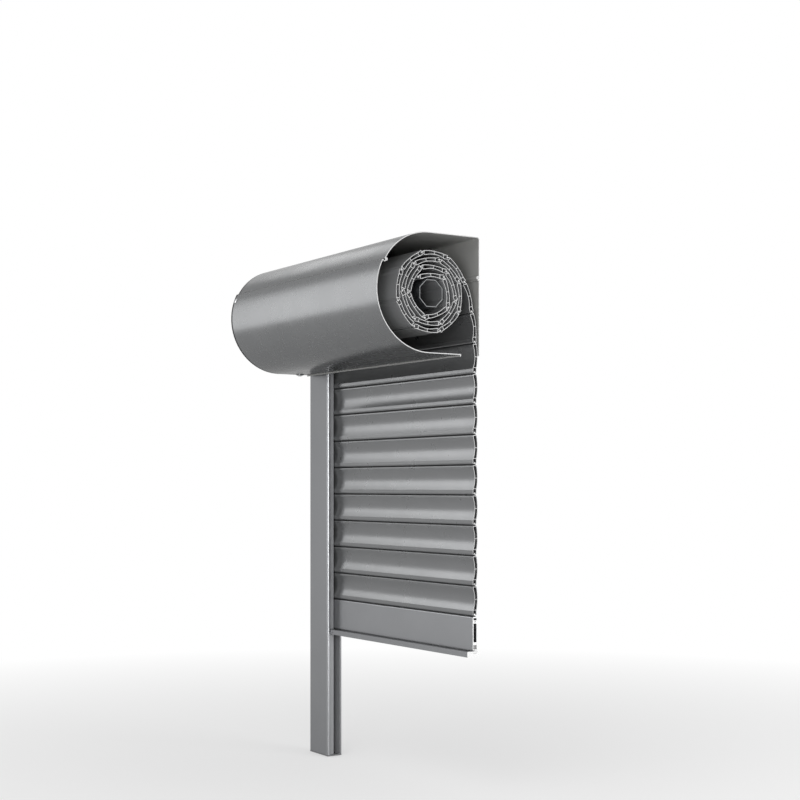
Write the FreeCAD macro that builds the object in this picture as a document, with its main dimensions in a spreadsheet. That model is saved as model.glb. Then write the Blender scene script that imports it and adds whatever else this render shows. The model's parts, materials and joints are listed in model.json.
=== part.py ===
import FreeCAD, Part
import math
import os

# External roller shutter, one end of it, cut open across the box: X runs along the roller, Y towards the
# wall plane (Y = 0), Z up. The origin lies on the wall plane, level with the roller, halfway along the box.

document = FreeCAD.newDocument("RollerShutter")
sheet = document.addObject("Spreadsheet::Sheet", "Sizes")

driving_sizes = [
    ("box_length", 475, "length of the box piece, end cap included"),
    ("box_depth", 180, "front of the box to the wall plane"),
    ("box_radius", 90, "outer radius of the rounded front cover"),
    ("sheet_wall", 1.3, "wall of the three box panels"),
    ("panel_step", 2.5, "how far the top panel's radius is inside the cover's"),
    ("corner_radius", 4, "bend at the top rear corner"),
    ("hinge_bearing", 150.5, "place of the cover's hook on the arc, degrees up from the wall side"),
    ("cover_gap", 6.3, "end of the cover's flat bottom in front of the guide rail"),
    ("lip_height", 2.4, "down-turned lip at that end"),
    ("rear_joint", 29, "height of the rear panels' hook above the roller"),
    ("hook_bead", 1.4, "radius of a panel hook's bead"),
    ("hook_gap", 0.3, "clearance round that bead"),
    ("hook_wall", 1.0, "wall of the hook's socket"),
    ("hook_neck", 1.0, "neck between bead and panel"),
    ("hook_shoulder", 3.2, "bead to the panel's edge"),
    ("hook_swing", 65, "how far the socket lets the cover swing, degrees"),
    ("roller_front", 77.9, "roller axis in front of the curtain's hook line"),
    ("roller_drop", 2.2, "roller axis below the arc's centre"),
    ("shaft_flats", 40, "octagonal shaft across its flats"),
    ("shaft_wall", 1.0, "wall of the shaft"),
    ("shaft_inset", 17, "left end of the shaft from the end of the box"),
    ("cap_plate", 2.5, "end cap's plate"),
    ("rim_depth", 14, "how far the end cap's rim reaches into the panels"),
    ("rim_wall", 2.0, "thickness of that rim"),
    ("rim_fit", 0.04, "rim to the top panel"),
    ("rib_depth", 6, "depth of the end cap's ribs"),
    ("rib_wall", 2.0, "thickness of those ribs"),
    ("seat_ledge", 1, "ledge behind the bearing"),
    ("hub_dish", 1.0, "depth of the dish in the end cap's outer face"),
    ("hub_dish_rim", 6, "how far that dish reaches past the bearing"),
    ("bracket_circle", 30, "radius of the bracket holes round the hub"),
    ("bracket_hole", 2.1, "radius of those holes"),
    ("spigot_drop", 40, "reach of the end cap's spigot into the guide rail"),
    ("spigot_rise", 8, "spigot above the rail's top"),
    ("spigot_fit", 0.2, "clearance of the pieces that plug into the rail"),
    ("swing_gap", 0.3, "clearance round the cover, which swings"),
    ("slat_pitch", 45.2, "cover height of one slat, hook to hook"),
    ("slat_sagitta", 2.6, "how far a slat bows out at mid height"),
    ("slat_body", 5.4, "thickness of a slat at mid height"),
    ("slat_wall", 0.85, "walls and web of a slat"),
    ("slat_head", 3.5, "bead to the top edge of the slat's body"),
    ("slat_brow", 3.0, "slat's upper front edge in front of the hook line"),
    ("slat_inset", 39.6, "left end of the slats from the end of the box"),
    ("first_chamber", 17.4, "height of the slat's upper chamber"),
    ("bead_radius", 1.4, "bead on a slat's upper edge"),
    ("neck_wall", 1.0, "neck under that bead"),
    ("neck_lean", 40, "lean of the neck towards the window side, degrees"),
    ("neck_length", 4.9, "bead to the rear face along the neck"),
    ("socket_radius", 2.5, "round end of the socket that holds the next bead"),
    ("socket_wall", 0.9, "wall of the socket"),
    ("socket_height", 5.6, "socket's round end to its flat top"),
    ("bead_drop", 0.85, "how far a hanging bead lies below the socket's centre"),
    ("lip_rear", 58, "rear lip of the socket, degrees from straight down"),
    ("lip_front", 48, "front lip of the socket, degrees from straight down"),
    ("clip_reach", 14, "reach of a slat's end clip into the slat"),
    ("clip_plate", 1.5, "plate of that clip"),
    ("clip_height", 22, "height of that plate"),
    ("clip_tongue", 6, "height of the clip's tongue"),
    ("coil_clearance", 1.47, "space between two layers of the coil"),
    ("coil_start", 10.15, "shaft's corner to the first bead of the coil"),
    ("run_off_ratio", 0.41, "tilt of each free slat as a share of the one above"),
    ("curtain_back", 8.6, "hook line of the hanging curtain in front of the wall plane"),
    ("curtain_top", 66.9, "first hanging bead below the roller axis"),
    ("bar_height", 53.1, "bottom bar, bead to lower edge"),
    ("bar_front", 3.4, "bottom bar's face in front of the hook line"),
    ("bar_rear", 4.6, "bottom bar's back behind the hook line"),
    ("bar_wall", 1.3, "walls of the bottom bar"),
    ("stop_gap", 1.6, "bottom bar to stop strip"),
    ("stop_height", 8.6, "height of the stop strip"),
    ("stop_front", 13.2, "stop strip's front edge in front of the hook line"),
    ("stop_rear", 7.2, "stop strip's rear edge behind the hook line"),
    ("stop_inset", 0.6, "stop strip's end from the guide rail"),
    ("rail_width", 62.7, "guide rail along the wall"),
    ("rail_depth", 27, "guide rail square to the wall"),
    ("rail_length", 657, "guide rail below the box"),
    ("rail_wall", 1.6, "walls of the guide rail"),
    ("rail_lip", 4.6, "front lip of the guide rail's mouth"),
    ("rail_rounding", 0.8, "rounding of the rail's outer front corner"),
    ("mouth_rounding", 2.8, "rounding of the front corner at the mouth"),
    ("crease_inset", 4.0, "crease in the rail's face from its mouth"),
    ("slot_inset", 9, "middle of the lip's slot from the rail's mouth"),
    ("slot_neck", 4, "neck width of that slot"),
    ("slot_head", 8, "width of that slot behind the neck"),
    ("insert_width", 8.6, "width of the front slide insert"),
    ("insert_inset", 4.6, "front slide insert from the rail's mouth"),
    ("groove_depth", 28, "depth of the groove for the slats"),
    ("slide_gap_front", 0.9, "slats to the front slide insert"),
    ("slide_gap_rear", 0.5, "slats to the rear slide insert"),
    ("funnel_height", 18, "inlet funnel above the rail's top"),
    ("foot_plate", 2, "plate of the rail's end plug"),
    ("foot_tongue", 16, "reach of that plug into the rail"),
    ("fixing_hole", 2.6, "radius of the rail's fixing holes"),
    ("fixing_spacing", 420, "distance between the two fixing holes"),
    ("fixing_first", 120, "upper fixing hole below the rail's top"),
    ("bearing_outer", 14, "outer radius of the ball bearing"),
    ("bearing_bore", 6, "bore radius of the ball bearing"),
    ("bearing_width", 8, "width of the ball bearing"),
    ("ring_wall", 2.6, "wall of the bearing's rings"),
    ("ball_radius", 2.0, "balls of the bearing"),
    ("race_gap", 0.08, "balls to their races"),
    ("plug_length", 55, "roller plug inside the shaft"),
    ("plug_flange", 3, "flange of that plug"),
    ("strap_wall", 1.0, "hanger strap"),
    ("strap_width", 26, "width of a hanger strap"),
    ("strap_foot", 12.2, "length of its foot on the shaft"),
    ("cover_screw_inset", 8.5, "cover's screws from the end of the box"),
    ("screw_radius", 1.75, "shank of the cover's screws"),
    ("rivet_radius", 1.6, "shank of the blind rivets"),
]

wound_slats = 20
free_slats = 3
hanging_slats = 9

for row, (alias, value, note) in enumerate(driving_sizes, start=1):
    sheet.set("A%d" % row, note)
    sheet.set("B%d" % row, str(value))
    sheet.setAlias("B%d" % row, alias)
document.recompute()

size = {alias: float(sheet.get(alias)) for alias, value, note in driving_sizes}

left_end = -size["box_length"] / 2
cut_plane = size["box_length"] / 2
arc_y = size["box_radius"] - size["box_depth"]
arc_z = size["roller_drop"]
cover_end = -size["rail_depth"] - size["cover_gap"]
curtain_y = -size["curtain_back"]
roller_y = curtain_y - size["roller_front"]
roller_z = 0.0
box_floor = arc_z - size["box_radius"]
panel_radius = size["box_radius"] - size["panel_step"]
panel_inside = panel_radius - size["sheet_wall"]
cover_inside = size["box_radius"] - size["sheet_wall"]
rear_inside = -size["sheet_wall"]
top_outside = arc_z + panel_radius
top_inside = arc_z + panel_inside
panel_start = left_end + size["cap_plate"]
slat_left = left_end + size["slat_inset"]
rail_mouth = left_end + size["rail_width"]
groove_floor = rail_mouth - size["groove_depth"]
socket_outside = size["socket_radius"] + size["socket_wall"]

parts = []


def point(y, z):
    return FreeCAD.Vector(y, z, 0)


def polar(centre, radius, degrees):
    angle = math.radians(degrees)
    return point(centre.x + radius * math.cos(angle), centre.y + radius * math.sin(angle))


arc_centre = point(arc_y, arc_z)


def outline(start, *steps):
    # A closed outline: each step is the next corner, or a pair (through, end) for an arc.
    edges = []
    here = start
    for step in steps + (start,):
        if isinstance(step, tuple):
            through, end = step
            edges.append(Part.Arc(here, through, end))
        else:
            end = step
            if here.distanceToPoint(end) > 1e-6:
                edges.append(Part.LineSegment(here, end))
        here = end
    return edges


def rectangle(low_x, low_y, high_x, high_y):
    return outline(point(low_x, low_y), point(high_x, low_y), point(high_x, high_y), point(low_x, high_y))


def circle(centre, radius):
    return [Part.Circle(centre, FreeCAD.Vector(0, 0, 1), radius)]


def octagon(across_flats):
    corner = across_flats / 2 / math.cos(math.radians(22.5))
    corners = [polar(point(0, 0), corner, 22.5 + 45 * step) for step in range(8)]
    return outline(*corners)


def padded(label, plane, loops, length, place):
    # A body with one section sketch on an origin plane, padded by a length from the sheet.
    body = document.addObject("PartDesign::Body", label)
    body.Label = label
    section = body.newObject("Sketcher::SketchObject", label + "_section")
    section.AttachmentSupport = [([f for f in body.Origin.OriginFeatures if f.Role == plane][0], "")]
    section.MapMode = "FlatFace"
    for loop in loops:
        section.addGeometry(loop, False)
    pad = body.newObject("PartDesign::Pad", label + "_pad")
    pad.Profile = section
    pad.setExpression("Length", length)
    body.Placement = place
    return body


def at(x, y, z):
    return FreeCAD.Placement(FreeCAD.Vector(x, y, z), FreeCAD.Rotation())


def cylinder(label, radius, height, base, axis):
    # radius and height are expressions on the sheet
    shape = document.addObject("Part::Cylinder", label)
    shape.setExpression("Radius", radius)
    shape.setExpression("Height", height)
    turn = FreeCAD.Rotation(FreeCAD.Vector(0, 0, 1), FreeCAD.Vector(*axis))
    shape.Placement = FreeCAD.Placement(FreeCAD.Vector(*base), turn)
    return shape


def block(label, low, high):
    shape = document.addObject("Part::Box", label)
    shape.Length = high[0] - low[0]
    shape.Width = high[1] - low[1]
    shape.Height = high[2] - low[2]
    shape.Placement = at(*low)
    return shape


def fused(label, pieces):
    shape = document.addObject("Part::MultiFuse", label)
    shape.Shapes = pieces
    shape.Refine = True
    return shape


def cut(label, base, tools):
    shape = document.addObject("Part::Cut", label)
    shape.Base = base
    shape.Tool = tools[0] if len(tools) == 1 else fused(label + "_tools", tools)
    return shape


def grouped(label, pieces):
    shape = document.addObject("Part::Compound", label)
    shape.Links = pieces
    return shape


def keep(shape, node):
    shape.Label = node
    parts.append(shape)
    return shape


# Panel hooks: a bead on one panel sits in an open socket on the other, so the panels lock along their length.

hook_inside = size["hook_bead"] + size["hook_gap"]
hook_outside = hook_inside + size["hook_wall"]
hook_radius = panel_radius - hook_outside
hook_freedom = math.degrees(math.asin(size["hook_neck"] / 2 / hook_inside)) + 6


class HookFrame:
    # Axes at a hook: along points to the panel with the socket, out points to the outside.
    def __init__(self, centre, along_degrees, outward):
        self.centre = centre
        self.degrees = along_degrees
        self.outward = outward

    def at(self, along, out):
        a = math.radians(self.degrees)
        b = a + self.outward * math.pi / 2
        return point(self.centre.x + along * math.cos(a) + out * math.cos(b),
                     self.centre.y + along * math.sin(a) + out * math.sin(b))

    def around(self, radius, degrees):
        # degrees are counted from "along" towards "out"
        a = math.radians(degrees)
        return self.at(radius * math.cos(a), radius * math.sin(a))


front_hook = HookFrame(polar(arc_centre, hook_radius, size["hinge_bearing"]), size["hinge_bearing"] - 90, 1)
rear_hook = HookFrame(point(-hook_outside, size["rear_joint"]), 90, -1)


def socket_steps(hook, swing):
    # From the skin's inner face, round the socket, to the skin's outer face beside the lip.
    inner_face = math.degrees(math.asin((hook_outside - size["sheet_wall"]) / hook_outside))
    closed_lip = 180 + hook_freedom
    open_lip = 180 - swing - hook_freedom
    return [
        hook.around(hook_outside, inner_face),
        (hook.around(hook_outside, (inner_face + closed_lip) / 2 - 180),
         hook.around(hook_outside, closed_lip)),
        hook.around(hook_inside, closed_lip),
        (hook.around(hook_inside, (closed_lip + open_lip) / 2 - 180), hook.around(hook_inside, open_lip)),
        hook.around(hook_outside, open_lip),
    ]


def bead_steps(hook, rise):
    # From the panel's inner face, over the neck, round the bead and back to the panel's outer edge.
    half = size["hook_neck"] / 2
    root = math.sqrt(size["hook_bead"] ** 2 - half ** 2)
    shoulder = size["hook_shoulder"]
    return [
        hook.at(-shoulder - size["sheet_wall"], -half),
        hook.at(-root, -half),
        (hook.at(size["hook_bead"], 0), hook.at(-root, half)),
        hook.at(-shoulder, half),
        hook.at(-shoulder, rise),
    ]


def reversed_steps(steps):
    # The same run of corners and arcs walked the other way round.
    ends = [step[1] if isinstance(step, tuple) else step for step in steps]
    turned = [ends[-1]]
    for index in range(len(steps) - 1, 0, -1):
        through = steps[index][0] if isinstance(steps[index], tuple) else None
        turned.append((through, ends[index - 1]) if through else ends[index - 1])
    return turned


# Box panels

def top_panel():
    corner = size["corner_radius"]
    inner_corner = corner - size["sheet_wall"]
    bend = point(-corner, top_outside - corner)
    front = socket_steps(front_hook, size["hook_swing"])
    rear = socket_steps(rear_hook, 0)
    rear.append((rear_hook.around(hook_outside, 123), rear_hook.around(hook_outside, 90)))
    inside_arc = polar(arc_centre, panel_inside, (90 + size["hinge_bearing"]) / 2)
    outside_arc = polar(arc_centre, panel_radius, (90 + size["hinge_bearing"]) / 2)
    loop = outline(
        point(arc_y, top_outside),
        point(-corner, top_outside),
        (polar(bend, corner, 45), point(0, top_outside - corner)),
        *reversed_steps(rear),
        point(rear_inside, top_outside - corner),
        (polar(bend, inner_corner, 45), point(-corner, top_inside)),
        point(arc_y, top_inside),
        (inside_arc, front[0]),
        *front[1:],
        (outside_arc, point(arc_y, top_outside)))
    return padded("top_panel", "YZ_Plane", [loop], "Sizes.box_length - Sizes.cap_plate",
                  at(panel_start, 0, 0))


def front_cover():
    hinge = size["hinge_bearing"]
    shoulder = size["hook_shoulder"]
    outer_start = hinge + math.degrees(math.asin(shoulder / size["box_radius"]))
    inner_start = hinge + math.degrees(math.asin((shoulder + size["sheet_wall"]) / cover_inside))
    lip_tip = size["sheet_wall"] / 2
    lip_low = box_floor - size["lip_height"] + lip_tip
    rise = size["box_radius"] * math.cos(math.radians(outer_start - hinge)) - hook_radius
    bead = bead_steps(front_hook, rise)
    loop = outline(
        polar(arc_centre, cover_inside, inner_start),
        *bead,
        (polar(arc_centre, size["box_radius"], 211), point(arc_y, box_floor)),
        point(cover_end - size["sheet_wall"], box_floor),
        point(cover_end - size["sheet_wall"], lip_low),
        (point(cover_end - lip_tip, lip_low - lip_tip), point(cover_end, lip_low)),
        point(cover_end, box_floor + size["sheet_wall"]),
        point(arc_y, box_floor + size["sheet_wall"]),
        (polar(arc_centre, cover_inside, 211), polar(arc_centre, cover_inside, inner_start)))
    return padded("front_cover_shell", "YZ_Plane", [loop],
                  "Sizes.box_length - Sizes.cap_plate - Sizes.swing_gap",
                  at(panel_start + size["swing_gap"], 0, 0))


def rear_panel():
    bead = bead_steps(rear_hook, hook_outside)
    shoulder = -size["hook_shoulder"] - size["sheet_wall"]
    loop = outline(
        point(rear_inside, box_floor),
        rear_hook.at(shoulder, hook_outside - size["sheet_wall"]),
        *bead,
        point(0, box_floor))
    return padded("rear_panel_shell", "YZ_Plane", [loop], "Sizes.box_length - Sizes.cap_plate",
                  at(panel_start, 0, 0))


# Fasteners: a shank with a domed or countersunk head, turned about its own axis

def turned(label, corners, base, axis):
    # corners are points (radius, height); a pair of them is an arc (through, end), as in outline
    body = document.addObject("PartDesign::Body", label)
    body.Label = label
    section = body.newObject("Sketcher::SketchObject", label + "_section")
    section.AttachmentSupport = [([f for f in body.Origin.OriginFeatures if f.Role == "XZ_Plane"][0], "")]
    section.MapMode = "FlatFace"
    section.addGeometry(outline(*corners), False)
    turn = body.newObject("PartDesign::Revolution", label + "_turned")
    turn.Profile = section
    turn.ReferenceAxis = (section, ["V_Axis"])
    turn.Angle = 360
    rotation = FreeCAD.Rotation(FreeCAD.Vector(0, 0, 1), FreeCAD.Vector(*axis))
    body.Placement = FreeCAD.Placement(FreeCAD.Vector(*base), rotation)
    return body


def domed_fastener(label, shank, length, head, rise, base, axis):
    # the head, a cap of a sphere, stands on the surface at base; the shank runs back from it
    ball = (head ** 2 + rise ** 2) / (2 * rise)
    half_cap = math.asin(head / ball) / 2
    return turned(label, [
        point(0, -length),
        point(shank, -length),
        point(shank, 0),
        point(head, 0),
        (point(ball * math.sin(half_cap), rise - ball + ball * math.cos(half_cap)), point(0, rise)),
    ], base, axis)


def countersunk_rivet(label, shank, length, head, base, axis):
    return turned(label, [
        point(0, -length),
        point(shank, -length),
        point(shank, shank - head),
        point(head, 0),
        point(0, 0),
    ], base, axis)


cover_screw_x = left_end + size["cover_screw_inset"]
front_screw_bearing = 160.6
front_screw_way = polar(point(0, 0), 1, front_screw_bearing)
front_screw_axis = (0, front_screw_way.x, front_screw_way.y)
front_screw_spot = polar(arc_centre, size["box_radius"], front_screw_bearing)
front_screw_base = (cover_screw_x, front_screw_spot.x, front_screw_spot.y)
underside_screw_base = (cover_screw_x, arc_y + 38, box_floor)
screw_reach = size["sheet_wall"] + size["swing_gap"] + size["rim_wall"] + 0.6
rivet_x = left_end + size["cover_screw_inset"]
top_rivets = [(rivet_x, -30, top_outside), (rivet_x, -72, top_outside)]
rear_rivets = [(rivet_x, 0, 10), (rivet_x, 0, -60)]
rivet_reach = size["sheet_wall"] + size["rim_wall"] + 0.8
rivet_head = size["rivet_radius"] + 1.1


def through_hole(label, radius, base, axis, depth):
    # a cutter that starts a little outside base and runs back along the axis
    start = [base[i] + axis[i] * 1.0 for i in range(3)]
    shape = cylinder(label, radius, "%s + 1" % depth, start, [-axis[i] for i in range(3)])
    return shape


def cover_with_holes():
    depth = "Sizes.sheet_wall + 2"
    holes = [
        through_hole("front_screw_hole", "Sizes.screw_radius", front_screw_base, front_screw_axis, depth),
        through_hole("underside_screw_hole", "Sizes.screw_radius", underside_screw_base, (0, 0, -1), depth),
    ]
    keep(cut("front_cover", front_cover(), holes), "front_cover")


def flush_rivets(name, bases, axis):
    # countersunk, because these two faces lie against the wall and the lintel
    return [countersunk_rivet("%s_%d" % (name, index), size["rivet_radius"], rivet_reach, rivet_head,
                              base, axis) for index, base in enumerate(bases)]


def panels_with_holes():
    shell = top_panel()
    shell.Label = "top_panel_shell"
    keep(cut("top_panel_drilled", shell, flush_rivets("top_rivet_sink", top_rivets, (0, 0, 1))), "top_panel")
    keep(cut("rear_panel_drilled", rear_panel(), flush_rivets("rear_rivet_sink", rear_rivets, (0, 1, 0))),
         "rear_panel")


def fasteners():
    keep(domed_fastener("cover_screw_front", size["screw_radius"], screw_reach, 4.6, 2.3,
                        front_screw_base, front_screw_axis), "cover_screw_front")
    keep(domed_fastener("cover_screw_underside", size["screw_radius"], screw_reach, 7.2, 4.2,
                        underside_screw_base, (0, 0, -1)), "cover_screw_underside")
    keep(grouped("top_rivet_group", flush_rivets("top_rivet", top_rivets, (0, 0, 1))), "top_panel_rivets")
    keep(grouped("rear_rivet_group", flush_rivets("rear_rivet", rear_rivets, (0, 1, 0))), "rear_panel_rivets")


# End cap: plate, rim inside the panels, bearing seat, ribs and the spigot that drops into the guide rail

seat_outside = size["bearing_outer"] + 4


def rail_chamber():
    # corners in plan of what fits into the guide rail's outer chamber
    gap = size["rail_wall"] + size["spigot_fit"]
    return (left_end + gap, -size["rail_depth"] + gap), (groove_floor - gap, -gap)


def end_cap():
    corner = size["corner_radius"]
    bend = point(-corner, top_outside - corner)
    hinge = size["hinge_bearing"]
    plate_outline = outline(
        point(arc_y, top_outside),
        point(-corner, top_outside),
        (polar(bend, corner, 45), point(0, top_outside - corner)),
        point(0, box_floor),
        point(arc_y, box_floor),
        (polar(arc_centre, size["box_radius"], 211), polar(arc_centre, size["box_radius"], hinge + 2)),
        polar(arc_centre, panel_radius, hinge),
        (polar(arc_centre, panel_radius, 120), point(arc_y, top_outside)))
    plate = padded("cap_plate", "YZ_Plane", [plate_outline], "Sizes.cap_plate", at(left_end, 0, 0))

    rim_outer = cover_inside - size["swing_gap"]
    rim_inner = rim_outer - size["rim_wall"]
    rim_floor = arc_z - rim_outer
    rim_end = cover_end - 4
    cover_rim = outline(
        polar(arc_centre, rim_outer, 157),
        (polar(arc_centre, rim_outer, 213), point(arc_y, rim_floor)),
        point(rim_end, rim_floor),
        point(rim_end, rim_floor + size["rim_wall"]),
        point(arc_y, rim_floor + size["rim_wall"]),
        (polar(arc_centre, rim_inner, 213), polar(arc_centre, rim_inner, 157)))
    rim_over = panel_inside - size["rim_fit"]
    rim_under = rim_over - size["rim_wall"]
    top_rim = outline(
        polar(arc_centre, rim_over, 142),
        (polar(arc_centre, rim_over, 116), point(arc_y, arc_z + rim_over)),
        point(-8, arc_z + rim_over),
        point(-8, arc_z + rim_under),
        point(arc_y, arc_z + rim_under),
        (polar(arc_centre, rim_under, 116), polar(arc_centre, rim_under, 142)))
    rear_rim = rectangle(rear_inside - size["rim_wall"], box_floor + 12, rear_inside, size["rear_joint"] - 8)
    rims = [padded(label, "YZ_Plane", [loop], "Sizes.rim_depth", at(panel_start, 0, 0))
            for label, loop in (("cover_rim", cover_rim), ("top_rim", top_rim), ("rear_rim", rear_rim))]

    hub = point(roller_y, roller_z)
    bore = size["bearing_outer"]
    seat = padded("bearing_seat", "YZ_Plane", [circle(hub, seat_outside), circle(hub, bore)],
                  "Sizes.bearing_width + Sizes.seat_ledge + 1.5", at(panel_start, 0, 0))
    ledge = padded("bearing_ledge", "YZ_Plane", [circle(hub, seat_outside), circle(hub, bore - 1.5)],
                   "Sizes.seat_ledge", at(panel_start, 0, 0))
    reach = seat_outside - 1
    half_rib = size["rib_wall"] / 2
    rib_end = panel_start + size["rib_depth"]
    ribs = [
        block("rib_up", (panel_start, roller_y - half_rib, reach),
              (rib_end, roller_y + half_rib, top_inside - 0.5)),
        block("rib_down", (panel_start, roller_y - half_rib, rim_floor + 0.5),
              (rib_end, roller_y + half_rib, -reach)),
        block("rib_front", (panel_start, arc_y - rim_outer + 1, -half_rib),
              (rib_end, roller_y - reach, half_rib)),
        block("rib_rear", (panel_start, roller_y + reach, -half_rib),
              (rib_end, rear_inside - 0.5, half_rib)),
    ]
    spigot_low, spigot_high = rail_chamber()
    spigot_hollow = rectangle(spigot_low[0] + 3, spigot_low[1] + 3, spigot_high[0] - 3, spigot_high[1] - 3)
    spigot = padded("rail_spigot", "XY_Plane", [rectangle(*spigot_low, *spigot_high), spigot_hollow],
                    "Sizes.spigot_drop + Sizes.spigot_rise", at(0, 0, box_floor - size["spigot_drop"]))
    whole = fused("end_cap_blank", [plate, seat, ledge, spigot] + rims + ribs)

    underside_y = underside_screw_base[1]
    room = size["screw_radius"] + 0.9
    cutters = [
        through_hole("front_screw_slot", "Sizes.screw_radius + 0.9", front_screw_base, front_screw_axis, "8"),
        block("underside_screw_slot", (cover_screw_x - room, underside_y - room - 4.5, box_floor),
              (cover_screw_x + room, underside_y + room, box_floor + 8)),
    ]
    for index, base in enumerate(top_rivets):
        cutters.append(through_hole("cap_top_rivet_%d" % index, "Sizes.rivet_radius", base, (0, 0, 1), "8"))
    for index, base in enumerate(rear_rivets):
        cutters.append(through_hole("cap_rear_rivet_%d" % index, "Sizes.rivet_radius", base, (0, 1, 0),
                                    "6"))
    cutters.append(cylinder("hub_dish", "Sizes.bearing_outer + Sizes.hub_dish_rim", "Sizes.hub_dish",
                            (left_end, roller_y, roller_z), (1, 0, 0)))
    for index in range(4):
        spot = polar(hub, size["bracket_circle"], 45 + 90 * index)
        cutters.append(countersunk_rivet("bracket_hole_%d" % index, size["bracket_hole"],
                                         2 * size["cap_plate"], 2 * size["bracket_hole"],
                                         (left_end, spot.x, spot.y), (-1, 0, 0)))
    keep(cut("end_cap_drilled", whole, cutters), "end_cap")


# Ball bearing in the end cap

bearing_left = panel_start + size["seat_ledge"]
ball_pitch = (size["bearing_outer"] + size["bearing_bore"]) / 2
ball_count = 8
bearing_middle = bearing_left + size["bearing_width"] / 2


def ball_bearing():
    place = (bearing_left, roller_y, roller_z)
    along = (1, 0, 0)

    def race(name):
        groove = document.addObject("Part::Torus", name)
        groove.Radius1 = ball_pitch
        groove.setExpression("Radius2", "Sizes.ball_radius + Sizes.race_gap")
        turn = FreeCAD.Rotation(FreeCAD.Vector(0, 0, 1), FreeCAD.Vector(*along))
        groove.Placement = FreeCAD.Placement(FreeCAD.Vector(bearing_middle, roller_y, roller_z), turn)
        return groove

    width = "Sizes.bearing_width"
    outer_blank = cylinder("outer_ring_blank", "Sizes.bearing_outer", width, place, along)
    outer_bore = cylinder("outer_ring_bore", "Sizes.bearing_outer - Sizes.ring_wall", width, place, along)
    keep(cut("outer_ring_cut", outer_blank, [outer_bore, race("outer_race")]), "bearing_outer_ring")
    inner_blank = cylinder("inner_ring_blank", "Sizes.bearing_bore + Sizes.ring_wall", width, place, along)
    inner_bore = cylinder("inner_ring_bore", "Sizes.bearing_bore", width, place, along)
    keep(cut("inner_ring_cut", inner_blank, [inner_bore, race("inner_race")]), "bearing_inner_ring")

    balls = []
    pockets = []
    for index in range(ball_count):
        spot = polar(point(roller_y, roller_z), ball_pitch, 360 * index / ball_count)
        centre = (bearing_middle, spot.x, spot.y)
        for name, group, grow in (("ball", balls, 0), ("pocket", pockets, 0.1)):
            ball = document.addObject("Part::Sphere", "%s_%d" % (name, index))
            ball.setExpression("Radius", "Sizes.ball_radius + %s" % grow)
            ball.Placement = at(*centre)
            group.append(ball)
    keep(grouped("ball_group", balls), "bearing_balls")
    cage_left = (bearing_middle - 2.8, roller_y, roller_z)
    cage_blank = cylinder("cage_blank", "%s + 0.8" % ball_pitch, "5.6 mm", cage_left, along)
    cage_bore = cylinder("cage_bore", "%s - 0.8" % ball_pitch, "5.6 mm", cage_left, along)
    keep(cut("cage_cut", cage_blank, [cage_bore] + pockets), "bearing_cage")


# Roller: octagonal shaft, plug with its pin, and the hanger straps that carry the coil

shaft_left = left_end + size["shaft_inset"]


def roller():
    hub = point(0, 0)
    tube = padded("shaft_tube", "YZ_Plane",
                  [octagon(size["shaft_flats"]), octagon(size["shaft_flats"] - 2 * size["shaft_wall"])],
                  "Sizes.box_length - Sizes.shaft_inset", at(shaft_left, roller_y, roller_z))
    holes = []
    for index, base in enumerate(strap_rivet_bases()):
        holes.append(through_hole("shaft_rivet_hole_%d" % index, "Sizes.rivet_radius", base, strap_normal,
                                  "5"))
    keep(cut("shaft_drilled", tube, holes), "octagonal_shaft")

    inside = size["shaft_flats"] - 2 * size["shaft_wall"] - 0.1
    body = padded("plug_body", "YZ_Plane", [octagon(inside), circle(hub, size["bearing_bore"])],
                  "Sizes.plug_length", at(shaft_left, roller_y, roller_z))
    flange = padded("plug_flange", "YZ_Plane",
                    [circle(hub, size["shaft_flats"] / 2 + 2.5), circle(hub, size["bearing_bore"])],
                    "Sizes.plug_flange", at(shaft_left - size["plug_flange"], roller_y, roller_z))
    collar_left = bearing_left + size["bearing_width"]
    collar_length = shaft_left - size["plug_flange"] - collar_left
    collar = padded("plug_collar", "YZ_Plane",
                    [circle(hub, size["bearing_bore"] + 2), circle(hub, size["bearing_bore"])],
                    "%s mm" % collar_length, at(collar_left, roller_y, roller_z))
    keep(fused("plug_whole", [body, flange, collar]), "roller_plug")
    pin_gap = 0.6
    pin_length = "Sizes.plug_length + Sizes.shaft_inset - Sizes.cap_plate - 4.6"
    keep(cylinder("pin_rod", "Sizes.bearing_bore", pin_length,
                  (panel_start + pin_gap, roller_y, roller_z), (1, 0, 0)), "roller_pin")


# Winding: each bead of the coil lies on a spiral round the roller, one slat pitch from the bead before it

coil_first_radius = size["shaft_flats"] / 2 / math.cos(math.radians(22.5)) + size["coil_start"]
layer_pitch = size["slat_body"] + size["slat_sagitta"] + size["coil_clearance"]


def next_bead(radius):
    # turn of the spiral that spans one slat pitch, found by halving
    low, high = 0.0, 2.6
    for _ in range(60):
        turn = (low + high) / 2
        outer = radius + layer_pitch * turn / (2 * math.pi)
        chord = math.sqrt(radius ** 2 + outer ** 2 - 2 * radius * outer * math.cos(turn))
        low, high = (turn, high) if chord < size["slat_pitch"] else (low, turn)
    return turn, outer


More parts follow.
